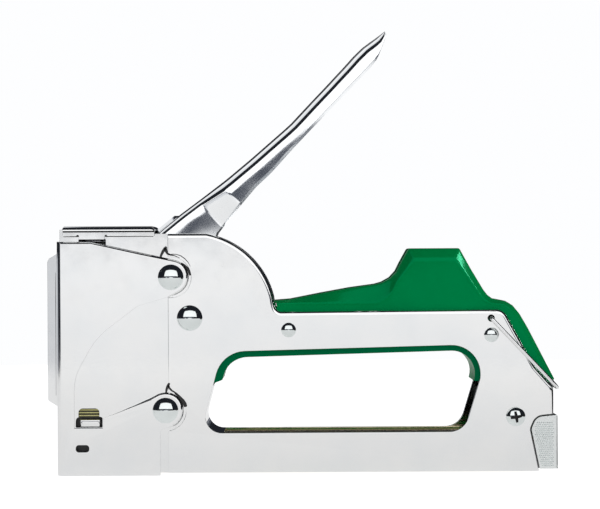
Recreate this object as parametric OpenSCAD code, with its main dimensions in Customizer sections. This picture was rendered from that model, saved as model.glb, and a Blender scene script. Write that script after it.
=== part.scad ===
// Hand staple gun with a squeeze lever, rear-loading staple channel and swing-over handle lock.
// Axes: X = 0 is the middle of the driver blade and +X runs to the rear, Y = 0 is the middle of the
// width, Z = 0 is the bottom edge of the nose and +Z is up. Millimetres.

/* [Body] */
// Overall width of the sheet body, outside to outside
body_width = 24.4; // [22:0.2:28]
// Thickness of the body, cover and cap sheet
sheet = 1.2; // [0.8:0.1:1.4]
// Gap between the cover tongues and the edge of the side plates
tongue_gap = 1.0; // [0.6:0.1:1.6]
// Width of the front rib at its root
rib_width = 10; // [6:0.5:14]
// How far the front rib stands out of the front face
rib_height = 4.6; // [2:0.2:6]

/* [Handle] */
// Thickness of the lever sheet
lever_sheet = 1.2; // [0.8:0.1:1.6]
// Gap on each side between the lever and the inner face of the body
lever_gap = 0.4; // [0.3:0.1:0.8]
// Diameter of the main pivot
pivot_diameter = 6; // [4:0.5:7]
// Diameter of the lifting pin
lift_pin_diameter = 4; // [3:0.5:4.5]

/* [Grip] */
// Height of the sloping band along the top of the hump
hump_band = 3.9; // [2:0.1:5]
// How far that band leans in on each side
hump_lean = 2.2; // [1:0.1:4]

/* [Rivets] */
// Diameter of the large domed rivet heads
dome_diameter = 10; // [8:0.5:11]
// Height of the large domed rivet heads
dome_height = 2.4; // [1.4:0.2:3]
// Diameter of the small domed rivet heads
small_dome_diameter = 5.8; // [4.6:0.2:7]
// Diameter of the rear screw head
screw_head_diameter = 7.4; // [6:0.2:9]

/* [Springs and wire] */
// Outside diameter of the main spring
main_spring_diameter = 16; // [13:0.5:17]
// Wire diameter of the main spring
main_spring_wire = 2.5; // [1.8:0.1:3]
// Wire diameter of the handle lock
lock_wire = 1.5; // [1.2:0.1:2]

/* [Staple channel] */
// Outside width of the staple channel
channel_width = 13; // [12:0.5:15]
// Sheet thickness of the staple channel
channel_sheet = 1.0; // [0.8:0.1:1.2]
// Diameter of the pusher rod
rod_diameter = 3; // [2.4:0.1:3.4]

/* [Hidden] */
$fn = 48;
outer = body_width / 2;
inner = outer - sheet;
recess_inner = inner - sheet;
lever_outer = recess_inner - lever_gap;
lever_inner = lever_outer - lever_sheet;
flange_edge = lever_outer + 0.6;
grip_outer = outer;
flare_start = 114;
flare_end = 124;
lever_slope = 45;
running = 0.05;
move_gap = 0.4;
wall_front = -2.0;
wall_back = wall_front + sheet;
plate_bottom = 1.1;
joggle_x = 41.6;
joggle_overlap = 1.4;
cap_top = 97.5;
cap_under = cap_top - sheet;
cap_edge = cap_top - 3.9;
cover_top = cap_top - 5.9;
reach = 300;
cap_rear = 36.4;
rear_x = 192;
pivot = [50, 61.5];
upper_rivet = [42.67, 77.46];
lower_rivet = [40.37, 25.44];
front_grip_rivet = [88.6, 56.7];
rear_grip_rivet = [167.8, 54.4];
rear_screw = [177.1, 22.4];
lock_pivot = [167.7, 60.9];
latch_pivot = [188.7, 5.0];
lift_point = [27.4, 53.3];
upper_tongue = 7.0;
lower_tongue = 7.1;
arch_radius = 33.7;
pin_end = outer - 0.5;
channel_half = channel_width / 2;
channel_top = 15.9;
channel_rear = 183;
rod_z = 8;
spring_x = 12;
spring_low = 52;
spring_high = cap_under - 3.3;
block_low = 40;
slot_low = 43;
slot_high = 48;
lock_arm = 37.8;
lock_angle = -46.6;
shank = 5;
small_shank = 3.2;

chrome = [0.86, 0.86, 0.87];
steel = [0.6, 0.6, 0.62];
zinc = [0.72, 0.64, 0.34];
green = [0.0, 0.42, 0.2];
black = [0.1, 0.1, 0.1];

// ---------- outline helpers ----------

function unit(v) = v / norm(v);

function xy(p) = [p[0], p[1]];

// Points of the arc that rounds corner b between a and c; the third number of b is its radius.
function corner(a, b, c) =
  let(
    u = unit(xy(a) - xy(b)),
    v = unit(xy(c) - xy(b)),
    half = acos(u * v) / 2,
    start = xy(b) + u * b[2] / tan(half),
    centre = xy(b) + unit(u + v) * b[2] / sin(half),
    from = atan2(start[1] - centre[1], start[0] - centre[0]),
    side = cross(u, v) > 0 ? -1 : 1,
    turn = side * (180 - 2 * half),
    steps = max(2, ceil(abs(turn) / 9))
  )
  [for (i = [0:steps]) centre + b[2] * [cos(from + turn * i / steps), sin(from + turn * i / steps)]];

function rounded(p) =
  let(n = len(p))
  [for (i = [0:n - 1]) each (p[i][2] > 0 ? corner(p[(i + n - 1) % n], p[i], p[(i + 1) % n]) : [xy(p[i])])];

function arc(centre, radius, from, to, steps) =
  let(turn = (to - from) / steps)
  [for (i = [0:steps]) centre + radius * [cos(from + turn * i), sin(from + turn * i)]];

// Side-view outline made into a plate between two Y positions.
module plate(y0, y1) {
  translate([0, y1, 0]) rotate([90, 0, 0]) linear_extrude(y1 - y0) children();
}

// Round bar along Y.
module bar(p, d, y0, y1) {
  translate([p[0], y1, p[1]]) rotate([90, 0, 0]) cylinder(h = y1 - y0, d = d);
}

// Round bar along X.
module rod(x0, x1, z, d) {
  translate([x0, 0, z]) rotate([0, 90, 0]) cylinder(h = x1 - x0, d = d);
}

module block(x0, x1, half, z0, z1) {
  translate([x0, -half, z0]) cube([x1 - x0, 2 * half, z1 - z0]);
}

// Domed head that sits on the face at y and points away from the middle.
module dome(p, d, h, y, side) {
  ball = (d * d / 4 + h * h) / (2 * h);
  intersection() {
    translate([p[0], side * (y + h - ball), p[1]]) sphere(r = ball, $fn = 64);
    translate([p[0], side * (y + h / 2), p[1]]) rotate([90, 0, 0]) cylinder(h = h, d = d + 2, center = true);
  }
}

// Rivet through the whole body with a dome on each side.
module through_rivet(p, d, head, height) {
  bar(p, d, -outer, outer);
  dome(p, head, height, outer, 1);
  dome(p, head, height, outer, -1);
}

// Coil spring along Z built from rings joined by one upright.
module coil(d, w, z0, z1, turns) {
  pitch = (z1 - z0 - w) / (turns - 1);
  for (i = [0:turns - 1]) translate([0, 0, z0 + w / 2 + i * pitch])
    rotate_extrude($fn = 36) translate([d / 2 - w / 2, 0]) circle(d = w, $fn = 12);
  translate([d / 2 - w / 2, 0, z0 + w / 2]) cylinder(h = z1 - z0 - w, d = w * 0.8, $fn = 12);
}

// ---------- side-view outlines ----------

module body_outline() {
  polygon(concat(
    [[wall_back, plate_bottom], [wall_back, cap_under], [cap_rear, cap_under], [cap_rear, cap_under - 1.8]],
    [[pivot[0] + 6.8, cap_under - 1.8]],
    arc(pivot, arch_radius, 77, 14, 18),
    rounded([[83.0, 67.6, 0], [84.0, 63.9, 2.5], [172.6, 64.4, 5], [184.8, 42.0, 6],
             [rear_x, 33.9, 3.5], [rear_x, plate_bottom, 0]])
  ));
}

module finger_opening() {
  polygon(rounded([[54.0, 16.5, 6.4], [157.0, 16.6, 7.6], [167.5, 50.8, 11.2], [62.5, 48.3, 12]]));
}

module front_zone(extra) {
  translate([wall_back - 1, 0]) square([joggle_x - wall_back + 1 + extra, 100]);
  translate(upper_rivet) circle(r = upper_tongue + tongue_gap + extra);
  translate(lower_rivet) circle(r = lower_tongue + tongue_gap + extra);
}

module latch_outline(extra) {
  offset(delta = extra)
    polygon(rounded([
      [183.2, 17.6, 2],
      [185.2, 22.2, 4],
      [193.6, 23.0, 0.6],
      [193.6, 2.0, 0.4],
      [186.4, 2.0, 0.6]
    ]));
}

module latch_cut() {
  latch_outline(0.6);
  translate([186.0, 0]) square([12, 6]);
}

// ---------- body sheets ----------

// One half of the body: side plate, recessed front plate, guide tab and inward flanges, on the +Y side.
module half_shell() {
  difference() {
    union() {
      plate(inner, outer) difference() {
        body_outline();
        front_zone(0);
      }
      plate(recess_inner, inner) intersection() {
        body_outline();
        front_zone(joggle_overlap);
      }
      plate(flange_edge, inner) intersection() {
        difference() {
          body_outline();
          offset(delta = -sheet) body_outline();
        }
        polygon([[44, 80], [60, 99], [200, 99], [200, 24.5], [150, 50], [75, 60]]);
      }
      plate(inner, outer) polygon(rounded([
        [7.1, 19, 0.5],
        [14.9, 19, 0.5],
        [14.9, 22.2, 0.5],
        [7.1, 22.2, 0.5]
      ]));
    }
    plate(recess_inner - 1, outer + 1) {
      finger_opening();
      latch_cut();
      polygon(rounded([[6.3, 22.6, 0], [14.4, 22.6, 0], [14.4, 26.3, 1.6], [6.3, 26.3, 1.6]]));
      polygon(rounded([
        [6.7, cover_top - 2.6, 0],
        [17.2, cover_top - 2.6, 0],
        [17.2, cover_top + 1, 0.4],
        [6.7, cover_top + 1, 0.4]
      ]));
      translate([5.0, 9.0]) square([5.9, 3.4]);
      translate(pivot) circle(d = pivot_diameter);
      translate(upper_rivet) circle(d = shank);
      translate(lower_rivet) circle(d = shank);
      translate(front_grip_rivet) circle(d = small_shank);
      translate(rear_grip_rivet) circle(d = small_shank);
      translate(rear_screw) circle(d = 5);
      translate(lock_pivot) circle(d = lock_wire + 1.2);
    }
  }
}

module left_shell() {
  color(chrome) mirror([0, 1, 0]) half_shell();
}

module right_shell() {
  color(chrome) half_shell();
}

module cover_outline() {
  polygon(concat(
    [[wall_back, 0], [wall_back, cover_top]],
    rounded([[9.5, cover_top, 0], [11.5, cover_top - 0.1, 3], [30, 87.3, 0]]),
    arc(upper_rivet, upper_tongue, 76, -68, 16),
    rounded([[44.8, 70.7, 0], [29.5, 66.2, 4], [13.4, 54.0, 28], [4.7, 38.5, 18], [4.7, 18.6, 0],
             [15.9, 18.6, 0], [15.9, 22.4, 0.6], [34.5, 30.5, 0]]),
    arc(lower_rivet, lower_tongue, 112, -55, 16),
    rounded([[44.4, 19.6, 0], [38.3, 18.0, 1.5], [38.3, 0, 0]])
  ));
}

module front_cover() {
  color(chrome) {
    for (side = [0, 1]) mirror([0, side, 0]) difference() {
      plate(inner, outer) cover_outline();
      plate(inner - 1, outer + 1) {
        polygon(rounded([[5.3, 9.3, 1.2], [10.5, 9.3, 1.2], [10.5, 12.1, 1.2], [5.3, 12.1, 1.2]]));
        translate(upper_rivet) circle(d = shank);
        translate(lower_rivet) circle(d = shank);
      }
    }
    block(wall_front, wall_back, outer, 0, cover_top);
    intersection() {
      linear_extrude(100) polygon([
        [wall_front + 0.01, -rib_width / 2],
        [wall_front + 0.01, rib_width / 2],
        [wall_front - rib_height, rib_width / 2 - 1],
        [wall_front - rib_height, 1 - rib_width / 2]
      ]);
      plate(-rib_width, rib_width) polygon(rounded([
        [wall_front + 1, 26.25, 0],
        [wall_front, 26.25, 0],
        [wall_front - rib_height, 29.0, 1],
        [wall_front - rib_height, 84.6, 2.6],
        [wall_front, 87.2, 0],
        [wall_front + 1, 87.2, 0]
      ]));
    }
  }
}

module top_cap() {
  color(chrome) {
    block(0.4, cap_rear, outer, cap_under, cap_top);
    for (side = [0, 1]) mirror([0, side, 0]) {
      translate([0.4, inner, cap_edge]) cube([cap_rear - 0.4, sheet, cap_under - cap_edge]);
      translate([6.9, inner, cap_edge - 1.2]) cube([10, sheet, 1.2]);
    }
  }
}

// ---------- grip ----------

module insert_outline() {
  polygon(rounded([
    [57.8, 35.4, 0],
    [62.6, 37.2, 0.5],
    [64.4, 45.9, 10],
    [164.2, 48.5, 9],
    [160.9, 36.4, 0],
    [186.4, 36.4, 0],
    [192.3, 35.6, 0.5],
    [193.0, 37.2, 0.8],
    [179.5, 62.6, 6],
    [174.6, 67.9, 3],
    [167.6, 68.0, 5],
    [155.9, 88.4, 0.8],
    [135.8, 88.4, 0.8],
    [128.6, 75.4, 10],
    [89.2, 68.6, 4],
    [82.4, 68.0, 0],
    [84.5, 60, 0],
    [64, 54, 0]
  ]));
}

module grip_insert() {
  color(green) difference() {
    union() {
      plate(-inner, inner) intersection() {
        insert_outline();
        offset(delta = -sheet) body_outline();
        translate([0, 30]) square([184, 40]);
      }
      intersection() {
        plate(-flange_edge, flange_edge) insert_outline();
        rotate([90, 0, 90]) linear_extrude(200) polygon([
          [-flange_edge, 30],
          [flange_edge, 30],
          [flange_edge, 88.4 - hump_band],
          [flange_edge - hump_lean, 88.4],
          [hump_lean - flange_edge, 88.4],
          [-flange_edge, 88.4 - hump_band]
        ]);
      }
    }
    bar(front_grip_rivet, small_shank, -outer, outer);
    bar(rear_grip_rivet, small_shank, -outer, outer);
    for (side = [0, 1]) mirror([0, side, 0]) bar(lock_pivot, 5.5, inner - 2, outer);
  }
}

module opening_wall() {
  color(chrome) plate(-inner, inner) intersection() {
    difference() {
      offset(delta = sheet) finger_opening();
      finger_opening();
    }
    polygon([[50, 20], [60, 15.95], [63, 15.95], [63, 22], [59.4, 35], [55, 33.5]]);
  }
}

// ---------- fasteners ----------

module upper_rivets() {
  color(chrome) for (side = [-1, 1]) {
    bar(upper_rivet, shank, side > 0 ? recess_inner : -outer, side > 0 ? outer : -recess_inner);
    dome(upper_rivet, dome_diameter, dome_height, outer, side);
  }
}

module lower_rivet() {
  color(chrome) through_rivet(lower_rivet, shank, dome_diameter, dome_height);
}

module pivot_rivet() {
  color(chrome) through_rivet(pivot, pivot_diameter, dome_diameter, dome_height);
}

module front_grip_rivet() {
  color(chrome) through_rivet(front_grip_rivet, small_shank, small_dome_diameter, 1.4);
}

module rear_grip_rivet() {
  color(chrome) through_rivet(rear_grip_rivet, small_shank, small_dome_diameter, 1.4);
}

// Pan-head screw with a cross recess, on the -Y side.
module rear_screw() {
  color(chrome) difference() {
    union() {
      bar(rear_screw, 3.5, -outer, 4);
      dome(rear_screw, screw_head_diameter, 2.2, outer, -1);
    }
    translate([rear_screw[0], -outer - 1.7, rear_screw[1]]) rotate([0, 10, 0]) {
      cube([3.8, 3, 0.9], center = true);
      cube([0.9, 3, 3.8], center = true);
    }
  }
}

module rear_nut() {
  color(chrome) difference() {
    union() {
      bar(rear_screw, 5, -outer, outer);
      dome(rear_screw, screw_head_diameter, 2.2, outer, 1);
    }
    bar(rear_screw, 3.5, -outer - 1, 4);
  }
}

module rear_block() {
  color(steel) difference() {
    block(170, 182.5, inner, channel_top, 28);
    bar(rear_screw, 5, -outer, outer);
  }
}

// ---------- firing parts ----------

module blade_guide() {
  color(zinc) {
    block(0.8, 0.8 + sheet, recess_inner, channel_top, 38);
    for (side = [0, 1]) mirror([0, side, 0])
      translate([0.8 + sheet, recess_inner - sheet, channel_top]) cube([19, sheet, 34 - channel_top]);
    block(0.8 + sheet, 0.8 + sheet + 19, recess_inner - sheet, 34 - sheet, 34);
  }
}

module bumper() {
  color(black) block(4, 20, 8, 34, block_low - move_gap);
}

module spring_seat() {
  color(steel) block(2, 22, recess_inner, spring_high, cap_under);
}

module main_spring() {
  color(steel) translate([spring_x, 0, 0])
    coil(main_spring_diameter, main_spring_wire, spring_low, spring_high, 8);
}

module plunger() {
  color(steel) difference() {
    block(0.5, 20, recess_inner - 0.5, block_low, spring_low);
    translate([13.4, -3.4, slot_low]) cube([10, 6.8, slot_high - slot_low]);
    bar([4.5, 46], 3, -outer, outer);
  }
}

module driver_blade() {
  color(steel) block(-0.5, 0.5, 5.2, 0.3, 50);
}

module blade_pin() {
  color(steel) bar([4.5, 46], 3, -recess_inner + 0.5, recess_inner - 0.5);
}

// ---------- lever ----------

module lever_outline() {
  polygon(rounded([
    [36.9, 95.0, 0.5],
    [54.2, 107.9, 30],
    [73.8, 123.3, 40],
    [90.5, 138.2, 60],
    [117.6, 167.2, 20],
    [127.4, 174.0, 0.6],
    [124.6, 164.6, 4],
    [97.4, 136.2, 30],
    [72.1, 109.2, 30],
    [59.6, 93.5, 6],
    [59.6, 52.5, 7.5],
    [46, 51.5, 8],
    [lift_point[0], lift_point[1] - 5.6, 8],
    [lift_point[0] - 5.4, lift_point[1] - 5.4, 4],
    [lift_point[0] - 5.4, lift_point[1] + 5.4, 4],
    [lift_point[0] + 8, lift_point[1] + 7.5, 5],
    [40.5, 68, 6]
  ]));
}

// Width of the lever along its length: narrow between the plates, wider where the hand squeezes.
module lever_plan(half, half_grip) {
  rotate([0, -lever_slope, 0]) translate([0, 0, -reach / 2]) linear_extrude(reach) polygon([
    [0, -half],
    [flare_start, -half],
    [flare_end, -half_grip],
    [reach, -half_grip],
    [reach, half_grip],
    [flare_end, half_grip],
    [flare_start, half],
    [0, half]
  ]);
}

module handle_lever() {
  web = [lever_sheet * cos(lever_slope - 3), -lever_sheet * sin(lever_slope + 3)];
  color(chrome) difference() {
    intersection() {
      plate(-grip_outer, grip_outer) lever_outline();
      lever_plan(lever_outer, grip_outer);
    }
    intersection() {
      plate(-grip_outer, grip_outer) {
        for (i = [1, 5, 9]) translate(web * i) lever_outline();
        polygon([[15, 40], [62, 40], [62, 90], [30, 92], [15, 92]]);
      }
      lever_plan(lever_inner, grip_outer - lever_sheet);
    }
    bar(pivot, pivot_diameter + 2 * running, -outer, outer);
    bar(lift_point, lift_pin_diameter, -outer, outer);
  }
}

module lift_pin() {
  color(steel) bar(lift_point, lift_pin_diameter, -lever_outer, lever_outer);
}

module lift_hook() {
  color(steel) difference() {
    plate(-2.6, 2.6) polygon(rounded([
      [15.8, slot_high - move_gap, 0.5],
      [22.5, slot_high - move_gap, 2],
      [lift_point[0] - 4.6, lift_point[1] + 4, 4],
      [lift_point[0] + 4.6, lift_point[1] + 4.6, 4],
      [lift_point[0] + 6.4, lift_point[1] + 2, 1],
      [lift_point[0] + 13, lift_point[1] + 2, 1.5],
      [lift_point[0] + 13, lift_point[1] - 2.2, 1.5],
      [lift_point[0] + 5, lift_point[1] - 2.2, 1],
      [lift_point[0] + 2.5, lift_point[1] - 6, 4],
      [26, slot_low + move_gap, 4],
      [15.8, slot_low + move_gap, 0.5]
    ]));
    bar(lift_point, lift_pin_diameter + 2 * running, -outer, outer);
  }
}

// Return spring coiled round the main pivot, between the cheeks of the lever.
module handle_spring() {
  color(steel) for (i = [0:4]) translate([pivot[0], i * 1.5 - 3, pivot[1]]) rotate([90, 0, 0])
    rotate_extrude($fn = 32) translate([pivot_diameter / 2 + 0.8, 0]) circle(d = 1.5, $fn = 12);
}

// ---------- staple channel ----------

module staple_channel() {
  color(zinc) difference() {
    block(0.8, channel_rear, channel_half, plate_bottom, channel_top);
    block(0, channel_rear + 1, channel_half - channel_sheet, 0, channel_top - channel_sheet);
  }
}

module pusher_rod() {
  color(steel) rod(5, 190, rod_z, rod_diameter);
}

module rod_tip() {
  color(steel) difference() {
    rod(5, 7.5, rod_z, rod_diameter + 3);
    rod(4, 8, rod_z, rod_diameter);
  }
}

module end_block() {
  color(steel) difference() {
    block(184, 191.6, inner - 1.2, 2, 14);
    rod(183, 190, rod_z, rod_diameter);
    bar(latch_pivot, 2.4, -outer, outer);
  }
}

module latch_pin() {
  color(steel) bar(latch_pivot, 2.4, -pin_end, pin_end);
}

// Long spring on the rod, built from rings joined by one straight wire.
module pusher_spring() {
  coil_radius = rod_diameter / 2 + 0.7;
  color(steel) translate([33, 0, rod_z]) rotate([0, 90, 0]) {
    for (i = [0:18]) translate([0, 0, i * 8.2])
      rotate_extrude($fn = 24) translate([coil_radius, 0]) circle(d = 0.8, $fn = 8);
    translate([-coil_radius, 0, 0]) cylinder(h = 150.6, d = 0.6, $fn = 8);
  }
}

module staple_pusher() {
  color(steel) difference() {
    block(8, 32, channel_half - channel_sheet - 0.3, 1.6, channel_top - channel_sheet - 0.4);
    rod(7, 33, rod_z, rod_diameter + 2 * running);
  }
}

module rear_latch() {
  color(chrome) {
    for (side = [0, 1]) mirror([0, side, 0]) difference() {
      plate(inner, outer) latch_outline(0);
      bar(latch_pivot, 2.4 + 2 * running, 0, pin_end + running);
    }
    intersection() {
      plate(-outer, outer) latch_outline(0);
      block(193.6 - sheet, 194, outer, 0, 30);
    }
  }
}

module latch_spring() {
  color(steel) translate([0, inner - 5, 0]) block(191.6, 192.2, 1.5, 4, 12);
}

// Wire bail with its ends in the side plates and its bar behind the rear edge.
module handle_lock() {
  leg = outer + 0.3 + lock_wire / 2;
  tight = 1.3;
  wide = 4;
  side_run = lock_arm - wide;
  color(chrome) translate([lock_pivot[0], 0, lock_pivot[1]]) rotate([0, -lock_angle, 0]) {
    for (side = [0, 1]) mirror([0, side, 0]) {
      translate([0, leg - tight, 0]) rotate([90, 0, 0])
        cylinder(h = leg - tight - inner + 1.5, d = lock_wire);
      translate([tight, leg - tight, 0]) rotate([0, 0, 90])
        rotate_extrude(angle = 90) translate([tight, 0]) circle(d = lock_wire);
      translate([tight, leg, 0]) rotate([0, 90, 0]) cylinder(h = side_run - tight, d = lock_wire);
      translate([side_run, leg - wide, 0])
        rotate_extrude(angle = 90) translate([wide, 0]) circle(d = lock_wire);
    }
    translate([lock_arm, leg - wide, 0]) rotate([90, 0, 0]) cylinder(h = 2 * (leg - wide), d = lock_wire);
  }
}

left_shell();
right_shell();
front_cover();
top_cap();
grip_insert();
opening_wall();
upper_rivets();
lower_rivet();
pivot_rivet();
front_grip_rivet();
rear_grip_rivet();
rear_screw();
rear_nut();
rear_block();
blade_guide();
bumper();
spring_seat();
main_spring();
staple_channel();
handle_spring();
handle_lever();
lift_pin();
lift_hook();
plunger();
driver_blade();
blade_pin();
pusher_rod();
rod_tip();
end_block();
latch_pin();
pusher_spring();
staple_pusher();
rear_latch();
latch_spring();
handle_lock();
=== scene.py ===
"""Looks of a hand staple gun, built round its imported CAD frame.

Axes are the CAD frame's: X runs from the nose to the rear, Y across the width, Z up. Lengths below are in
millimetres and turned into metres by the makers, so that they read like the part's own sizes.
"""
import math

import bmesh
import bpy
from mathutils import Matrix, Vector


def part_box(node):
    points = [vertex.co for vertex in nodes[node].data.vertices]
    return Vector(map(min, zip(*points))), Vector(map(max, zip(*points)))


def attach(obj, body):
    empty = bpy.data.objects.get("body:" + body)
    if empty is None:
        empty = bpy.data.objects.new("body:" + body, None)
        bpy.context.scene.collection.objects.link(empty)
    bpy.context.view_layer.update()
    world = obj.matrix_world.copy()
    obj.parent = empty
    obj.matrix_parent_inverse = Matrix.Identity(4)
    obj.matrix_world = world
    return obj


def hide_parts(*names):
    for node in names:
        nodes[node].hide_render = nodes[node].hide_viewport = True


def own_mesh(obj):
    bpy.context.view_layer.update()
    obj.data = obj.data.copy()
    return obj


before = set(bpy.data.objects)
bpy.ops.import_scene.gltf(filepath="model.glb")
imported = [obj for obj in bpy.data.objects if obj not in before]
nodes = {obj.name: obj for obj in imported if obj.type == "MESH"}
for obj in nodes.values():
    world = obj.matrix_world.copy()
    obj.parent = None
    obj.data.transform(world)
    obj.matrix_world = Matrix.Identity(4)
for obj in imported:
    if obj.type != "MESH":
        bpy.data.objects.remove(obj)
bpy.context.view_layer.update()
MM = 0.001


def low(node):
    """Low corner of a CAD node's box (mm)."""
    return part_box(node)[0] / MM


def high(node):
    """High corner of a CAD node's box (mm)."""
    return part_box(node)[1] / MM


# ---------------------------------------------------------------- materials


class Finish:
    """Small builder for one procedural material around a Principled BSDF."""

    def __init__(self, name, **inputs):
        self.material = bpy.data.materials.new(name)
        self.material.use_nodes = True
        self.tree = self.material.node_tree
        self.shader = self.tree.nodes["Principled BSDF"]
        self.place = self.tree.nodes.new("ShaderNodeTexCoord").outputs["Object"]
        for key, value in inputs.items():
            self.shader.inputs[key.replace("_", " ")].default_value = value

    def node(self, kind, **inputs):
        made = self.tree.nodes.new("ShaderNode" + kind)
        for key, value in inputs.items():
            socket = made.inputs[key.replace("_", " ")]
            if hasattr(value, "links"):
                self.tree.links.new(value, socket)
            else:
                socket.default_value = value
        return made

    def noise(self, scale, detail=3.0, stretch=(1, 1, 1)):
        """Noise whose features are about 1/scale metres long."""
        spot = self.node("Mapping", Vector=self.place, Scale=stretch).outputs["Vector"]
        return self.node("TexNoise", Vector=spot, Scale=scale, Detail=detail, Roughness=0.55).outputs["Fac"]

    def ramp(self, value, start, end, low_value, high_value):
        made = self.node("MapRange", Value=value)
        made.inputs["From Min"].default_value = start
        made.inputs["From Max"].default_value = end
        made.inputs["To Min"].default_value = low_value
        made.inputs["To Max"].default_value = high_value
        return made.outputs["Result"]

    def blend(self, factor, first, second):
        made = self.tree.nodes.new("ShaderNodeMix")
        made.data_type = "RGBA"
        self.tree.links.new(factor, made.inputs["Factor"])
        for socket, value in ((made.inputs[6], first), (made.inputs[7], second)):
            if hasattr(value, "links"):
                self.tree.links.new(value, socket)
            else:
                socket.default_value = value
        return made.outputs[2]

    def link(self, value, name):
        self.tree.links.new(value, self.shader.inputs[name])

    def bump(self, height, distance, strength=1.0, below=None):
        made = self.node("Bump", Height=height, Distance=distance * MM, Strength=strength)
        if below is not None:
            self.tree.links.new(below, made.inputs["Normal"])
        self.link(made.outputs["Normal"], "Normal")
        return made.outputs["Normal"]


def colour(r, g, b):
    return (r, g, b, 1.0)


def metal(name, base, tint, rough, wave=0.004, grain=0.001, stretch=(1, 1, 1)):
    """Plated or bare metal: uneven tint, edges lightened for wear and as a painted highlight, patchy
    roughness, slow waviness and a fine grain.
    """
    f = Finish(name, Metallic=1.0)
    shade = f.blend(f.ramp(f.noise(60, 4), 0.35, 0.7, 0, 1), base, tint)
    # edges lightened in the base colour, for wear and as a painted highlight
    wear_and_highlight = colour(*(min(1.0, c * 1.12) for c in base[:3]))
    edge = f.ramp(f.tree.nodes.new("ShaderNodeNewGeometry").outputs["Pointiness"], 0.52, 0.6, 0, 0.25)
    f.link(f.blend(edge, shade, wear_and_highlight), "Base Color")
    f.link(f.ramp(f.noise(140, 5, stretch), 0.3, 0.75, rough[0], rough[1]), "Roughness")
    slow = f.bump(f.noise(45, 1.5), wave)
    f.bump(f.noise(1500, 2, stretch), grain, 0.6, slow)
    return f.material


def plastic(name, base, deep, index=1.42):
    """Glossy moulded plastic with faint flow marks and a fine texture."""
    f = Finish(name, IOR=index, Specular_Tint=colour(0.0, 1.0, 0.5))
    f.link(f.blend(f.ramp(f.noise(35, 3), 0.3, 0.7, 0, 1), base, deep), "Base Color")
    f.link(f.ramp(f.noise(220, 4), 0.3, 0.75, 0.12, 0.22), "Roughness")
    slow = f.bump(f.noise(60, 1), 0.02)
    f.bump(f.noise(2600, 2), 0.006, 0.5, slow)
    return f.material


def rubber(name):
    """Matt black rubber."""
    f = Finish(name, Roughness=0.8)
    f.link(f.blend(f.noise(900, 4), colour(0.02, 0.02, 0.02), colour(0.05, 0.05, 0.048)), "Base Color")
    f.bump(f.noise(1200, 3), 0.05)
    return f.material


chrome = metal("plated_sheet", colour(0.80, 0.80, 0.795), colour(0.76, 0.77, 0.775), (0.04, 0.1))
lever_chrome = metal(
    "lever_plate", colour(0.86, 0.87, 0.875), colour(0.80, 0.815, 0.825), (0.05, 0.12),
    wave=0.006, grain=0.0008,
)
satin = metal("satin_sheet", colour(0.83, 0.85, 0.84), colour(0.77, 0.80, 0.79), (0.26, 0.38), grain=0.004)
rivet_plate = metal("rivet_plate", colour(0.72, 0.755, 0.75), colour(0.67, 0.71, 0.705), (0.04, 0.1))
yellow_zinc = metal(
    "yellow_plate", colour(0.82, 0.70, 0.36), colour(0.78, 0.60, 0.30), (0.14, 0.3), wave=0.01, grain=0.003,
)
olive_zinc = metal(
    "aged_yellow_plate", colour(0.44, 0.42, 0.2), colour(0.34, 0.32, 0.14), (0.16, 0.3),
    wave=0.006, grain=0.003,
)
dark_steel = metal(
    "dark_steel", colour(0.22, 0.22, 0.23), colour(0.14, 0.14, 0.15), (0.3, 0.5), wave=0.01, grain=0.006,
)
bright_steel = metal(
    "bright_steel", colour(0.62, 0.62, 0.63), colour(0.54, 0.54, 0.55), (0.16, 0.3), wave=0.003, grain=0.004,
    stretch=(1, 1, 6),
)
spring_steel = metal(
    "spring_wire", colour(0.50, 0.50, 0.52), colour(0.38, 0.38, 0.40), (0.18, 0.32), wave=0.003, grain=0.003,
)
wire_steel = metal(
    "wire", colour(0.80, 0.80, 0.80), colour(0.70, 0.70, 0.71), (0.08, 0.2), wave=0.002, grain=0.002,
)
green_plastic = plastic("moulding", colour(0.0, 0.178, 0.044), colour(0.0, 0.15, 0.036))
green_inner = plastic("moulding_inside", colour(0.0, 0.2, 0.05), colour(0.0, 0.17, 0.042), index=1.02)
# painted shade: a darker copy of the moulding's green, for the lining's upright sides
green_painted_shade = plastic("lining", colour(0.0, 0.085, 0.026), colour(0.0, 0.07, 0.02))
bumper_rubber = rubber("bumper_rubber")
# painted shade: near-black metal for cut faces, gaps, seams, creases and the lever's cut rim, where shade
# falls
painted_shade = metal(
    "painted_recess_shade", colour(0.05, 0.05, 0.05), colour(0.025, 0.025, 0.025), (0.35, 0.55), grain=0.002,
)

# ---------------------------------------------------------------- makers


def add_piece(name, bm, material, body, replaced=(), sharp=35, bevel=None, inside=None):
    """Makes a piece from bm (in metres), gives it its material and ties it to its CAD body and nodes."""
    bmesh.ops.recalc_face_normals(bm, faces=bm.faces)
    if not sharp:
        keep_flats_flat(bm)
    for face in bm.faces:
        face.smooth = True
    mesh = bpy.data.meshes.new(name)
    bm.to_mesh(mesh)
    bm.free()
    mesh.materials.append(material)
    if inside:
        mesh.materials.append(inside)
    if sharp:
        mesh.set_sharp_from_angle(angle=math.radians(sharp))
    piece = bpy.data.objects.new(name, mesh)
    bpy.context.scene.collection.objects.link(piece)
    if bevel:
        ease_edges(piece, bevel)
    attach(piece, body)
    if replaced:
        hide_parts(*replaced)
    return piece


def ease_edges(piece, width):
    """Small rounding of every cut edge, with flat faces kept flat in the shading."""
    bevel = piece.modifiers.new("eased_edges", "BEVEL")
    bevel.width = width * MM
    bevel.segments = 2
    bevel.limit_method = "ANGLE"
    bevel.angle_limit = math.radians(40)
    bevel.use_clamp_overlap = False
    bevel.harden_normals = True
    for polygon in piece.data.polygons:
        polygon.use_smooth = True


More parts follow.
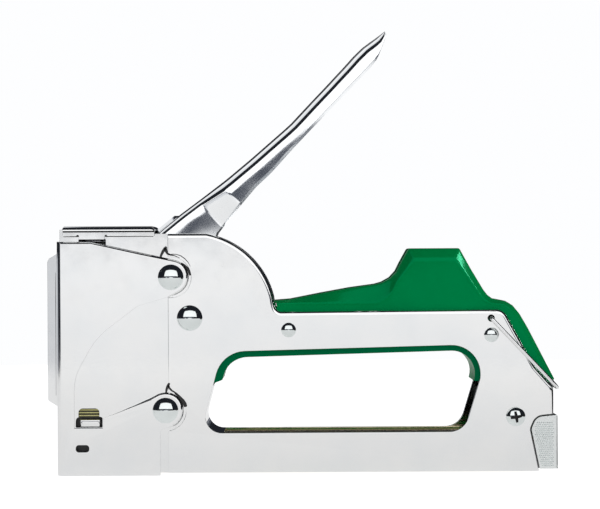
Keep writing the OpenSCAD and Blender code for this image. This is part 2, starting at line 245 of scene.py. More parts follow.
def keep_flats_flat(bm):
    """Marks the borders of large flat faces sharp, so that rounded folds don't tilt their shading."""
    large, corner, bend = 15.0, math.radians(30), math.radians(2)
    for edge in bm.edges:
        if len(edge.link_faces) != 2:
            continue
        turn = edge.calc_face_angle(0)
        size = max(f.calc_area() for f in edge.link_faces) / MM**2
        edge.smooth = not (turn > corner or (size > large and turn > bend))


def from_cad(node, *folds):
    """A bmesh of the CAD node with its flat faces joined.

    Each fold is (picker, radius, segments, profile): the edges it picks are rounded like bent sheet.
    """
    bm = bmesh.new()
    bm.from_mesh(nodes[node].data)
    bmesh.ops.remove_doubles(bm, verts=bm.verts, dist=4e-6)
    bmesh.ops.dissolve_limit(bm, angle_limit=0.015, verts=bm.verts, edges=bm.edges)
    for picker, radius, segments, profile in folds:
        corners = [e for e in bm.edges if len(e.link_faces) == 2 and e.calc_face_angle(0) > 0.9]
        bent = [e for e in corners if picker(e)]
        bmesh.ops.bevel(
            bm, geom=bent, offset=radius * MM, offset_type="OFFSET", segments=segments, profile=profile,
            affect="EDGES", clamp_overlap=False, loop_slide=False,
        )
    return bm


def loose_object(name, bm, material):
    """A plain object from bm, linked to the scene; bm is used up."""
    bmesh.ops.recalc_face_normals(bm, faces=bm.faces)
    mesh = bpy.data.meshes.new(name)
    bm.to_mesh(mesh)
    bm.free()
    mesh.materials.append(material)
    made = bpy.data.objects.new(name, mesh)
    bpy.context.scene.collection.objects.link(made)
    return made


def carved(bm, cutter, material, inside):
    """bm with the cutter's volume taken out of it, as a mesh whose cut faces have the inside material."""
    body = loose_object("carved_body", bm, material)
    body.data.materials.append(inside)
    tool = loose_object("carving_tool", cutter, inside)
    cut = body.modifiers.new("cut", "BOOLEAN")
    cut.object = tool
    cut.operation = "DIFFERENCE"
    cut.solver = "EXACT"
    cut.material_mode = "TRANSFER"
    bpy.context.view_layer.update()
    solid = bpy.data.meshes.new_from_object(body.evaluated_get(bpy.context.evaluated_depsgraph_get()))
    out = bmesh.new()
    out.from_mesh(solid)
    for spare in (body, tool):
        bpy.data.objects.remove(spare)
    bpy.data.meshes.remove(solid)
    return out


def block(bm, low_corner, high_corner):
    """Adds a box between two corners (mm)."""
    made = bmesh.ops.create_cube(bm, size=1.0)["verts"]
    for vert in made:
        for i in range(3):
            a, b = low_corner[i], high_corner[i]
            vert.co[i] = (a + (vert.co[i] + 0.5) * (b - a)) * MM


def divide(bm, point, normal, clear=False):
    """Cuts bm along a plane through point (mm); clear also removes what lies on the normal's side."""
    bmesh.ops.bisect_plane(
        bm, geom=list(bm.verts) + list(bm.edges) + list(bm.faces),
        plane_co=Vector(point) * MM, plane_no=Vector(normal), clear_outer=clear,
    )


def middle(edge):
    """Middle of an edge (mm)."""
    return (edge.verts[0].co + edge.verts[1].co) / 2 / MM


def rounded(points, steps=5):
    """Polyline whose corners are rounded where the point is (x, z, radius); (x, z) stays a corner."""
    out = []
    count = len(points)
    for i, p in enumerate(points):
        here = Vector(p[:2])
        if len(p) < 3 or i in (0, count - 1):
            out.append(here)
            continue
        back = Vector(points[i - 1][:2]) - here
        ahead = Vector(points[i + 1][:2]) - here
        reach = min(p[2], back.length * 0.45, ahead.length * 0.45)
        start, end = here + back.normalized() * reach, here + ahead.normalized() * reach
        for k in range(steps + 1):
            t = k / steps
            out.append(start * (1 - t) ** 2 + here * 2 * t * (1 - t) + end * t * t)
    return out


def grid(bm, rows, close_columns=False):
    """Skins rows of points (mm) with quads and returns the rows of vertices."""
    made = [[bm.verts.new(Vector(p) * MM) for p in row] for row in rows]
    for a, b in zip(made, made[1:]):
        width = len(a) if close_columns else len(a) - 1
        for j in range(width):
            k = (j + 1) % len(a)
            bm.faces.new((a[j], a[k], b[k], b[j]))
    return made


def capped(bm, rows):
    """Skins rows of points (mm) that each close on themselves, and shuts both ends."""
    made = grid(bm, rows, close_columns=True)
    bm.faces.new(made[0])
    bm.faces.new(made[-1])


def full_turn(count):
    """Angles of a whole circle in equal steps."""
    return [2 * math.pi * k / count for k in range(count)]


def lathe(bm, profile, centre, side, segments=64):
    """Turns (radius, height) points about the Y axis through centre=(x, z); side is -1 or 1."""
    rows = []
    for radius, height in profile:
        rows.append([
            (centre[0] + radius * math.cos(t), side * height, centre[1] + radius * math.sin(t))
            for t in full_turn(segments)
        ])
    capped(bm, rows)


def tube(bm, path, radius, segments=12):
    """Round wire along path (mm)."""
    path = [Vector(p) for p in path]
    rows = []
    normal = None
    for i, p in enumerate(path):
        ahead = (path[min(i + 1, len(path) - 1)] - path[max(i - 1, 0)]).normalized()
        if normal is None:
            normal = ahead.orthogonal().normalized()
        normal = (normal - ahead * normal.dot(ahead)).normalized()
        across = ahead.cross(normal)
        rows.append([
            p + normal * (radius * math.cos(t)) + across * (radius * math.sin(t))
            for t in full_turn(segments)
        ])
    capped(bm, rows)


def prism(bm, outline, y0, y1):
    """Plate with an (x, z) outline between two Y positions."""
    capped(bm, [[(x, y, z) for x, z in outline] for y in (y0, y1)])


def stroke(bm, points, y0, y1):
    """Flat band along (x, z, half width) points between two Y positions."""
    left, right = [], []
    for i, (x, z, half) in enumerate(points):
        ahead = Vector(points[min(i + 1, len(points) - 1)][:2]) - Vector(points[max(i - 1, 0)][:2])
        ahead.normalize()
        left.append((x - ahead.y * half, z + ahead.x * half))
        right.append((x + ahead.y * half, z - ahead.x * half))
    for i in range(len(points) - 1):
        prism(bm, [left[i], left[i + 1], right[i + 1], right[i]], y0, y1)


def crescent(bm, centre, points, y0, y1):
    """Curved band round centre through (angle, inner radius, outer radius) points."""
    def at(angle, radius):
        t = math.radians(angle)
        return centre[0] + radius * math.cos(t), centre[1] + radius * math.sin(t)

    for (a0, in0, out0), (a1, in1, out1) in zip(points, points[1:]):
        prism(bm, [at(a0, in0), at(a0, out0), at(a1, out1), at(a1, in1)], y0, y1)


def along(curve, s):
    """Linear interpolation in a list of (s, value)."""
    if s <= curve[0][0]:
        return curve[0][1]
    for (s0, v0), (s1, v1) in zip(curve, curve[1:]):
        if s <= s1:
            return v0 + (v1 - v0) * (s - s0) / (s1 - s0)
    return curve[-1][1]


def centre_of(node):
    """Middle of a CAD node's box as (x, z) in mm."""
    a, b = low(node), high(node)
    return (a.x + b.x) / 2, (a.z + b.z) / 2


# ---------------------------------------------------------------- body sheets

half_width = high("right_shell").y
SHEET = 1.1
# Where the wire lock's ends go in, as (x, z)
LOCK_HOLE = (167.7, 60.9)


def body_fold(edge):
    """Edges where the side plate is bent in along the arch, the grip and the rear."""
    m = middle(edge)
    at_hole = math.hypot(m.x - LOCK_HOLE[0], m.z - LOCK_HOLE[1]) < 2.0
    if abs(abs(m.y) - half_width) > 0.05 or at_hole:
        return False
    on_top = 36.6 < m.x and m.z > 94.0
    on_arch = m.x > 57.0 and m.z > 62.0
    on_rear = m.x > 172.0 and m.z > 25.0
    return on_top or on_arch or on_rear


# Corners of the window round a feed lug, as (x, z)
WINDOW_LOW, WINDOW_HIGH = (5.2, 18.9), (15.6, 22.95)


def window_cutter():
    """Opening round the feed lug, through the side plates and the guide behind them."""
    cutter = bmesh.new()
    (x0, z0), (x1, z1) = WINDOW_LOW, WINDOW_HIGH
    start = (x0 + 1, z0)
    outline = rounded([start, (x1, z0, 0.4), (x1, z1, 0.8), (x0, z1, 1.8), (x0, z0, 1.8), start], 4)[1:]
    for y0, y1 in ((-13.0, -8.6), (8.6, 13.0)):
        prism(cutter, outline, y0, y1)
    return cutter


def build_side_plates():
    """Both side plates with their bent edges, rounded, and the windows round the feed lugs, whose cut faces
    are in painted shade.
    """
    for node, name in (("left_shell", "side_plate_left"), ("right_shell", "side_plate_right")):
        # the window's cut faces take the painted shade
        bm = carved(from_cad(node, (body_fold, 1.6, 8, 0.5)), window_cutter(), chrome, painted_shade)
        add_piece(name, bm, chrome, "body", [node], sharp=None, bevel=0.12, inside=painted_shade)


def build_lugs():
    """Feed lugs in the windows, with rounded faces and sides that open a little upward."""
    bm = bmesh.new()
    for side in (-1, 1):
        rows = []
        for y, inset in ((9.9, 0.0), (11.4, 0.0), (11.75, 0.15), (11.95, 0.45), (12.0, 0.9)):
            foot, head = 19.1 + inset, 22.1 - inset
            corners = [(7.1 + inset, foot), (14.7 - inset, foot), (14.95 - inset, head), (6.9 + inset, head)]
            rows.append([(x, side * y, z) for x, z in corners])
        capped(bm, rows)
    add_piece("feed_lugs", bm, chrome, "body", sharp=40)


# Each tongue of the cover: its centre, the painted-shade crescents round it and the painted-shade hooks in
# the gaps where it meets the plate
TONGUES = (
    (
        (42.67, 77.46),
        (
            [
                (54, 7.05, 7.12), (44, 7.05, 7.4), (32, 7.05, 7.75), (20, 7.1, 7.95), (10, 7.15, 8.0),
                (5, 7.3, 7.95),
            ],
            [
                (96, 8.7, 9.0), (86, 8.9, 9.2), (76, 9.1, 9.4), (64, 9.1, 9.45), (52, 8.95, 9.3),
                (40, 8.85, 9.1), (28, 8.75, 8.85),
            ],
        ),
        (
            [
                (38.7, 85.3, 0.3), (38.95, 86.2, 0.4), (39.6, 87.5, 0.5), (40.45, 88.7, 0.55),
                (41.0, 89.4, 0.35),
            ],
            [
                (40.6, 88.9, 0.5), (40.9, 87.6, 0.5), (41.5, 86.7, 0.45), (42.6, 86.2, 0.3),
                (44.2, 85.9, 0.18), (46.2, 85.0, 0.1),
            ],
        ),
    ),
    (
        (40.37, 25.44),
        (
            [
                (62, 7.5, 7.85), (50, 7.2, 7.95), (40, 7.15, 8.2), (30, 7.15, 8.5), (20, 7.2, 8.7),
                (13, 7.3, 8.7), (10, 7.5, 8.4),
            ],
        ),
        (
            [(40.6, 32.5, 0.3), (40.75, 33.6, 0.4), (41.2, 34.8, 0.5), (41.7, 35.7, 0.5), (42.0, 36.2, 0.3)],
            [(41.5, 35.3, 0.45), (41.9, 34.3, 0.4), (42.8, 33.3, 0.35), (43.8, 32.7, 0.3), (45.0, 31.9, 0.3)],
        ),
    ),
)
# Painted shade line along the foot of the nose rib: x, then (z, half width) down its length
RIB_FOOT_X = -3.3
RIB_FOOT = ((79.5, 0.03), (76, 0.07), (68, 0.1), (60, 0.08), (50, 0.07), (40, 0.05), (31, 0.04))


def build_crease_shade():
    """Painted shade in the gaps where the side plate is pressed up round the cover's tongues, and at the nose
    rib's foot.
    """
    bm = bmesh.new()
    for side in (-1, 1):
        y0, y1 = side * (half_width - SHEET), side * (half_width + 0.03)
        # painted shade: dark strokes in the gaps round each tongue
        for centre, crescents, hooks in TONGUES:
            for points in crescents:
                crescent(bm, centre, points, y0, y1)
            for points in hooks:
                stroke(bm, points, y0, y1)
        stroke(bm, [(RIB_FOOT_X, z, half) for z, half in RIB_FOOT], side * 4.3, side * 4.76)
    add_piece("pressed_creases", bm, painted_shade, "body", sharp=40)


# Low and high corners of the shadows on the +Y side
GAPS = (
    ((4.9, 8.7, 18.6), (15.9, 9.0, 23.2)),
    ((5.3, 9.82, 23.0), (15.5, 9.88, 26.2)),
    ((4.9, 9.3, 8.9), (10.9, 9.6, 12.5)),
)


def build_gaps():
    """Shadow behind the feed lugs, between the guide's ribs and behind the oblong slots."""
    bm = bmesh.new()
    for side in (-1, 1):
        for (x0, y0, z0), (x1, y1, z1) in GAPS:
            block(bm, (x0, side * y0, z0), (x1, side * y1, z1))
    add_piece("gap_shadows", bm, painted_shade, "body", sharp=40)


def build_guide():
    """Yellow-plated blade guide with three stiffening ribs that show through the side plates."""
    # the window's cut faces take the painted shade
    bm = carved(from_cad("blade_guide"), window_cutter(), olive_zinc, painted_shade)
    add_piece("guide_plate", bm, olive_zinc, "body", ["blade_guide"], sharp=30, inside=painted_shade)
    ribs = bmesh.new()
    for y in (-9.95, 9.95):
        for z in (23.5, 24.6, 25.7):
            tube(ribs, [(x, y, z) for x in (5.0, 5.6, 10.4, 15.2, 15.8)], 0.36)
    add_piece("guide_ribs", ribs, olive_zinc, "body", sharp=60)


def build_cover():
    """Front cover with its nose bent round and its free edges turned in."""
    nose_wall, bend, bend_end = -2.0, 1.7, -0.3

    def on_side(edge):
        return abs(abs(middle(edge).y) - half_width) < 0.05

    def nose(edge):
        return on_side(edge) and abs(middle(edge).x - nose_wall) < 0.05

    def rim(edge):
        m = middle(edge)
        at_window = 3.5 < m.x < 16.8 and 8 < m.z < 28
        if not on_side(edge) or m.x < bend_end or at_window:
            return False
        wall = min((f.normal for f in edge.link_faces), key=lambda normal: abs(normal.y))
        return wall.z > 0.25 or m.x > 43.0

    bm = from_cad("front_cover", (nose, bend, 9, 0.5), (rim, 1.0, 6, 0.36))
    add_piece("nose_cover", bm, chrome, "body", ["front_cover"], sharp=None, bevel=0.1)


cap_low, cap_high = low("top_cap"), high("top_cap")
CAP_ROLL = 2.3
CAP_TURN = [math.radians(14.0 + k * 7.6) for k in range(0, 11)]
cap_lip = cap_high.z - CAP_ROLL + CAP_ROLL * math.sin(CAP_TURN[0])


def build_cap_sheet():
    """Upper sheet of the top cap: rolled down along both sides, easing down at its two ends."""
    half = cap_high.y
    centre = (half - CAP_ROLL * math.cos(CAP_TURN[0]), cap_high.z - CAP_ROLL)
    side = [(half - 0.9, cap_lip - 0.05)]
    side += [(centre[0] + CAP_ROLL * math.cos(t), centre[1] + CAP_ROLL * math.sin(t)) for t in CAP_TURN]
    outer = side + [(-y, z) for y, z in reversed(side)]
    inner = [(y * (half - SHEET) / half, min(z + 0.02, cap_high.z - SHEET)) for y, z in outer]
    droops = [(cap_low.x, 0.5), (cap_low.x + 0.15, 0.15), (cap_low.x + 0.5, 0)]
    droops += [(cap_high.x - 1.4, 0), (cap_high.x - 0.7, 0.25), (cap_high.x - 0.2, 0.75), (cap_high.x, 1.3)]
    rise = cap_high.z - cap_lip
    rows = []
    for x, droop in droops:
        rows.append([(x, y, z - droop * max(z - cap_lip, 0) / rise) for y, z in outer + inner[::-1]])
    bm = bmesh.new()
    made = grid(bm, rows, close_columns=True)
    count = len(outer)
    for row in (made[0], made[-1]):
        for j in range(count - 1):
            bm.faces.new((row[j], row[j + 1], row[2 * count - 2 - j], row[2 * count - 1 - j]))
    add_piece("cap_sheet", bm, chrome, "body", ["top_cap"], sharp=30)


def build_cap_band():
    """Band under the cap's sheet with a tab over the cover's slot, and painted-shade strips in the seams
    above and below it.
    """
    half = cap_high.y
    edge, top = 93.6, cap_lip - 0.6
    tab_front, tab_rear, notch = 6.9, 16.9, 0.5
    half_turn = [math.radians(180 - 30 * k) for k in range(7)]
    front, rear = (
        [(x + notch * math.cos(t), edge + 0.1 + notch * math.sin(t)) for t in half_turn]
        for x in (tab_front - notch, tab_rear + notch)
    )
    outline = [(cap_low.x, edge)] + front + [(tab_front, cap_low.z), (tab_rear, cap_low.z)] + rear
    outline += [(cap_high.x, edge), (cap_high.x, top), (cap_low.x, top)]
    # painted shade filling the seam between the band and the sheet above
    below, above = top - 0.1, cap_lip + 0.1
    ring = [(1.0, below), (0.45, below), (0.3, top + 0.3), (0.45, above), (1.0, above)]
    ends = (cap_low.x + 0.1, cap_high.x - 0.1)
    band, seam_shade = bmesh.new(), bmesh.new()
    for side in (-1, 1):
        prism(band, outline, side * (half - SHEET), side * half)
        capped(seam_shade, [[(x, side * (half - depth), z) for depth, z in ring] for x in ends])
    # painted shade: dark strips behind the band's lower edge, either side of the tab
    for side in (-1, 1):
        for x0, x1 in ((cap_low.x + 0.3, 6.85), (17.0, cap_high.x - 0.5)):
            block(seam_shade, (x0, side * (half - 1.25), edge - 0.24), (x1, side * (half - 1.12), edge + 0.75))
    add_piece("cap_band", band, chrome, "body", bevel=0.1, sharp=None)
    add_piece("cap_seam", seam_shade, painted_shade, "body", sharp=40)


def build_wall():
    """Wall at the front of the finger opening."""
    wall = from_cad("opening_wall")
    add_piece(
        "opening_front_wall", wall, chrome, "body", ["opening_wall"], sharp=None, bevel=0.15,
    )


def build_track():
    """Staple track with rounded upper bends and the oblong slot through each of its sides, the slots' cut
    faces in painted shade.
    """
    top, half = high("staple_channel").z, high("staple_channel").y

    def fold(edge):
        m = middle(edge)
        return abs(abs(m.y) - half) < 0.05 and abs(m.z - top) < 0.05

    cutter = bmesh.new()
    for y0, y1 in ((-8.0, -4.6), (4.6, 8.0)):
        block(cutter, (4.6, y0, 8.9), (11.2, y1, 12.5))
    # the slots' cut faces take the painted shade
    bm = carved(from_cad("staple_channel", (fold, 1.8, 5, 0.5)), cutter, yellow_zinc, painted_shade)
    add_piece(
        "staple_track", bm, yellow_zinc, "body", ["staple_channel"],
        sharp=None, bevel=0.2, inside=painted_shade,
    )


# ---------------------------------------------------------------- rivets and screw


def dome_profile(radius, height, base):
    """(radius, height) points of a domed head on a plate at base, from its upright foot to its crest."""
    foot = 0.12
    ball = (radius * radius + height * height) / (2 * height)
    reach = math.asin(radius / ball)
    centre = base + height - ball
    angles = [reach * k / 14 for k in range(14, 0, -1)]
    dome = [(ball * math.sin(t), centre + ball * math.cos(t)) for t in angles]
    dome = [point for point in dome if point[1] > base + foot * 1.5]
    return [(radius - foot, base - 0.02), (radius, base + foot)] + dome + [(0.15, base + height)]


# Height of the domed heads of each rivet
RIVET_HEADS = {
    "upper_rivets": 2.39, "lower_rivet": 2.39, "pivot_rivet": 2.39,
    "front_grip_rivet": 1.4, "rear_grip_rivet": 1.4,
}


def build_rivets():
    """Domed heads on both side plates; all but the upper rivets have a shank right across."""
    for node, head in RIVET_HEADS.items():
        radius = (high(node).z - low(node).z) / 2
        centre = centre_of(node)
        bm = bmesh.new()
        for side in (-1, 1):
            lathe(bm, dome_profile(radius, head, half_width), centre, side)
        shank = radius * 0.5
        if node != "upper_rivets":
            lathe(bm, [(shank, -half_width + 0.01), (shank, half_width - 0.01)], centre, 1, 32)
        add_piece(node.removesuffix("s") + "_heads", bm, rivet_plate, "body", [node], sharp=50)


def build_screw():
    """Pan head with a deep cross recess, cut from a turned head; the recess's faces are in painted shade."""
    face = low("rear_screw").y
    radius = (high("rear_screw").z - low("rear_screw").z) / 2
    x, z = centre_of("rear_screw")
    rim, shank, shank_end = 0.5, 1.7, 4.0
    bm = bmesh.new()
    head = dome_profile(radius, -half_width - face - rim, half_width + rim)
    lathe(bm, [(radius - 0.1, half_width - 0.02)] + head, (x, z), -1)
    lathe(bm, [(shank, -half_width + 0.01), (shank, shank_end)], (x, z), 1, 24)
    arm, thin, tilt = 2.25, 0.62, math.radians(10)
    outline = []
    for k in range(4):
        t = tilt + k * math.pi / 2
        for u, v in ((arm, -thin * 0.75), (arm, thin * 0.75), (thin, thin)):
            outline.append((x + u * math.cos(t) - v * math.sin(t), z + u * math.sin(t) + v * math.cos(t)))
    cutter = bmesh.new()
    capped(cutter, [
        [(x + (px - x) * grow, y, z + (pz - z) * grow) for px, pz in outline]
        for grow, y in ((1.0, face - 0.4), (0.95, face + 1.5))
    ])
    # the recess's cut faces take the painted shade
    bm = carved(bm, cutter, rivet_plate, painted_shade)
    add_piece("cross_screw", bm, rivet_plate, "body", ["rear_screw"], sharp=50, inside=painted_shade)


# ---------------------------------------------------------------- lever

# Side view of the CAD lever: its top line, and its under line from the pivot to the tip
TOP = [
    (36.88, 95.02), (46.03, 101.85), (54.24, 107.9), (64.3, 115.51), (73.77, 123.32), (81.66, 130.16),
    (89.56, 136.99), (98.25, 146.2), (105.36, 153.6), (111.68, 160.55), (114.45, 163.8), (118.01, 167.4),
    (121.16, 169.83), (124.31, 171.78), (126.3, 172.95), (126.75, 173.1),
]
UNDER = [
    (59.6, 70.4), (59.6, 93.5), (62.63, 97.44), (69.75, 106.45), (75.68, 113.49), (81.6, 118.9),
    (89.51, 127.7), (97.41, 136.0), (108.08, 147.11), (117.95, 157.3), (121.11, 160.4), (124.28, 164.32),
    (125.47, 166.67), (127.06, 170.98), (126.9, 172.7),
]
# Where the lofted sheet takes over from the CAD shape, as a distance along the lever
LEVER_CUT = 92.5


def slanted(points):
    """(x, z) points as (distance along the 45 degree lever, height over it)."""
    return sorted(((x + z) * math.sqrt(0.5), (z - x) * math.sqrt(0.5)) for x, z in points)


# Shoulder of the section, as (lean of the skin in degrees, height over the skirt), full size and at the root
OUTER_ROLL = [(9, 0.0), (29, 0.8), (49, 2.05), (74, 3.2), (90, 4.35)]
ROOT_ROLL = [(9, 0.0), (29, 0.45), (49, 1.4), (74, 2.0), (90, 2.95)]
# Lean of the skirt's six bands, and what is added to it at each distance along the lever
SKIRT_LEANS = (0.3, 0.5, 0.9, 1.6, 3.0, 7.0)
LEAN = [(128, 0.0), (152, 0.3), (168, 1.5), (179, 3.4), (200, 4.0)]
# Height of the crown over the CAD's top line at each distance along the lever
CROWN = [(93, 0.0), (104, 0.4), (185, 0.45), (210, 0.0)]
# Where the sheet widens from between the side plates to the body's full width
FLARE = (113.6, 124.0)
ROOT_HALF = 9.4
TIP_START, TIP_TAPER = 210.0, 3.0


def share_between(value, start, end):
    """0 up to start, 1 from end on and even in between."""
    return min(max((value - start) / (end - start), 0.0), 1.0)


def lever_section(s, top, under):
    """Outer (y, height) section of the lever sheet at s: bowed skirts, rolled shoulders and a crowned top."""
    flare = share_between(s, *FLARE)
    half = ROOT_HALF + (half_width - ROOT_HALF) * flare
    if s > TIP_START:
        half -= ((s - TIP_START) / TIP_TAPER) ** 2
    roll = [(a, r0 + (r1 - r0) * flare) for (a, r0), (_, r1) in zip(ROOT_ROLL, OUTER_ROLL)]
    share = 0.72 + 0.2 * share_between(s, 150.0, 172.0)
    scale = min(1.0, share * (top - under) / roll[-1][1])
    band = (top - under - scale * roll[-1][1]) / len(SKIRT_LEANS)
    y, n = half, under
    points = [(y, n)]
    for lean in SKIRT_LEANS:
        y -= math.tan(math.radians(lean + along(LEAN, s))) * band
        n += band
        points.append((y, n))
    for (a0, r0), (a1, r1) in zip(roll, roll[1:]):
        a0, a1 = math.radians(a0), math.radians(a1)
        radius = scale * (r1 - r0) / (math.sin(a1) - math.sin(a0))
        base_y, base_n = y, n
        for k in range(1, 7):
            t = a0 + (a1 - a0) * k / 6
            y = base_y - radius * (math.cos(a0) - math.cos(t))
            n = base_n + radius * (math.sin(t) - math.sin(a0))
            points.append((y, n))
    points.append((0.0, n))
    return points + [(-y, n) for y, n in reversed(points[:-1])]


def lever_stations():
    """Distances along the lever that get a section: closer where the sheet widens and at the tip."""
    root = [LEVER_CUT + k * 2.5 for k in range(8)] + [112.6, 113.5, 113.7]
    widening = [115, 117, 119, 121, 123, 123.9, 124.1, 125]
    blade = [128 + k * 3.0 for k in range(25)]
    tip = [202, 204, 206, 208, 209.4, 210.6, 211.4, 211.9, 212.0]
    return root + widening + blade + tip


def lever_skin():
    """Mesh of the lever's outer skin, from the cut to the tip."""
    top_line, under_line = slanted(TOP), slanted(UNDER)
    rows = []
    for s in lever_stations():
        section = lever_section(s, along(top_line, s) + along(CROWN, s), along(under_line, s))
        rows.append([((s - n) * math.sqrt(0.5), y, (s + n) * math.sqrt(0.5)) for y, n in section])
    bm = bmesh.new()
    grid(bm, rows)
    bmesh.ops.recalc_face_normals(bm, faces=bm.faces)
    if sum(f.normal.z * f.calc_area() for f in bm.faces) < 0:
        bmesh.ops.reverse_faces(bm, faces=bm.faces)
    mesh = bpy.data.meshes.new("lever_sheet")
    bm.to_mesh(mesh)
    bm.free()
    mesh.materials.append(lever_chrome)
    # second slot: painted shade for the cut rim
    mesh.materials.append(painted_shade)
    mesh.shade_smooth()
    return mesh


def build_lever():
    """Lofted lever sheet with its thickness and a cut rim in painted shade, and the CAD's own cheeks below
    the cut.
    """
    lever = bpy.data.objects.new("lever_sheet", lever_skin())
    bpy.context.scene.collection.objects.link(lever)
    solid = lever.modifiers.new("sheet", "SOLIDIFY")
    solid.thickness = SHEET * MM
    solid.offset = -1
    bevel = lever.modifiers.new("hem", "BEVEL")
    bevel.width = 0.16 * MM
    bevel.segments = 2
    bevel.angle_limit = math.radians(60)
    # the hem's bevel faces take the second slot, painted shade
    bevel.material = 1
    bevel.harden_normals = True
    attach(lever, "handle")
    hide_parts("handle_lever")
    cheeks = from_cad("handle_lever")
    normal = Vector((1, 0, 1)).normalized()
    divide(cheeks, normal * LEVER_CUT, normal, clear=True)
    add_piece("lever_cheeks", cheeks, lever_chrome, "handle", sharp=30)


# ---------------------------------------------------------------- grip moulding

# Side view of the moulding from front to rear: the top edge of its bevel, and the edge where its sides start
CREST = [
    (82.1, 68.03), (89.19, 68.58), (101.02, 70.88), (112.85, 72.99), (122.7, 74.31), (125.46, 75.09),
    (128.62, 76.84), (131.0, 79.39), (132.59, 82.6), (135.77, 88.3, 0.7), (155.86, 88.3, 0.7),
    (160.16, 80.42), (165.23, 71.9), (166.8, 69.85), (168.76, 68.4), (171.12, 68.0), (173.87, 67.45),
    (176.62, 65.76), (179.37, 62.4), (182.49, 57.0), (187.95, 46.4), (191.46, 39.6), (192.95, 36.72),
    (192.5, 35.8),
]
RIDGE = [
    (84.0, 66.9), (89.2, 67.2), (101.0, 67.15), (112.85, 67.1), (122.66, 67.03), (125.0, 67.8),
    (127.6, 69.6), (129.39, 71.92), (131.38, 75.84), (137.9, 84.4, 0.7), (153.8, 84.4, 0.7),
    (158.4, 78.2), (163.6, 70.3), (165.6, 68.0), (168.2, 66.7), (171.0, 66.5), (173.2, 66.0),
    (175.6, 64.4), (178.1, 61.7), (181.3, 56.3), (186.8, 45.6), (190.3, 39.0), (191.9, 36.9),
    (191.9, 36.3),
]
# The sides go straight down to this height; along the rear slope they turn and reach in by BASE_DROP instead
BASE_LEVEL = 62.0
BASE_DROP = 4.0
REAR_TURN = (160.0, 176.0)
REAR_INWARD = (-0.88, -0.48)
SIDE_FACE = 10.0
# Half section as (t, y): t runs from 0 at the crest to 1 at the ridge and 2 at the base
HUMP_SECTION = [
    (0, 0), (0, 3), (0, 6.4), (0.015, 7.1), (0.05, 7.5), (0.12, 7.8), (0.3, 8.25), (0.6, 9.0), (0.85, 9.62),
    (0.94, 9.83), (1.0, 9.93), (1.08, 9.98), (1.2, SIDE_FACE), (2.0, SIDE_FACE),
]
# Planes as (point, normal) beyond which the hump takes the place of the CAD moulding
HUMP_PLANES = (
    ((100, 0, 64.0), (0, 0, 1)),
    ((172.0, 0, 64.0), (0.88, 0, 0.48)),
    ((184.0, 0, 41.9), (0.74, 0, 0.67)),
)


def build_hump():
    """Hump and rear strip of the moulding as one lofted skin."""
    section = [(t, -y) for t, y in reversed(HUMP_SECTION[1:])] + HUMP_SECTION
    rows = []
    for (cx, cz), (rx, rz) in zip(rounded(CREST, 3), rounded(RIDGE, 3)):
        turn = share_between(rx, *REAR_TURN)
        inward = Vector((0, -1)).lerp(Vector(REAR_INWARD), turn).normalized()
        drop = (rz - BASE_LEVEL) * (1 - turn) + BASE_DROP * turn
        bx, bz = rx + inward.x * drop, rz + inward.y * drop
        row = []
        for t, y in section:
            if t <= 1:
                row.append((cx + (rx - cx) * t, y, cz + (rz - cz) * t))
            else:
                row.append((rx + (bx - rx) * (t - 1), y, rz + (bz - rz) * (t - 1)))
        rows.append(row)
    bm = bmesh.new()
    made = grid(bm, rows)
    for row in (made[0], made[-1]):
        bm.faces.new(row)
    add_piece("grip_hump", bm, green_plastic, "body", ["grip_insert"], sharp=32)


def build_lining():
    """Lining under the grip, which keeps its CAD shape; its upright sides take a darker copy of the green
    than its inside, as painted shade.
    """
    lining = from_cad("grip_insert")
    for point, normal in HUMP_PLANES:
        divide(lining, point, normal, clear=True)
    for face in lining.faces:
        # upright faces take the darker painted-shade green
        face.material_index = 0 if abs(face.normal.y) > 0.7 else 1
    add_piece("grip_lining", lining, green_painted_shade, "body", sharp=30, inside=green_inner)


# ---------------------------------------------------------------- latch, lock and springs


def build_latch():
    """Rear cap, its upright rear corners bent round."""
    b = high("rear_latch")

    def fold(edge):
        m = middle(edge)
        return abs(abs(m.y) - half_width) < 0.05 and abs(m.x - b.x) < 0.05

    bm = from_cad("rear_latch", (fold, 1.0, 5, 0.5))
    add_piece("latch_cap", bm, satin, "latch", ["rear_latch"], sharp=None, bevel=0.15)


def build_dimples():
    """Staggered rows of small raised dots on the rear cap's two finger pads."""
    pitch, rows, foot, rear = 0.8, 22, 3.2, 191.6
    dot = ((0.32, -0.02), (0.28, 0.14), (0.16, 0.27), (0.03, 0.31))
    rings = [(radius, half_width + height) for radius, height in dot]
    bm = bmesh.new()
    for side in (-1, 1):
        for row in range(rows):
            z = foot + row * pitch
            # The pad narrows a little towards its foot and quickly towards its top
            front = 183.9 + max(0.0, (17.0 - z) * 0.19) + max(0.0, (z - 18.5) * 0.75)
            x = rear - (pitch / 2 if row % 2 else 0)
            while x > front + 0.5:
                lathe(bm, rings, (x, z), side, 8)
                x -= pitch
    add_piece("latch_dimples", bm, rivet_plate, "latch", sharp=None)


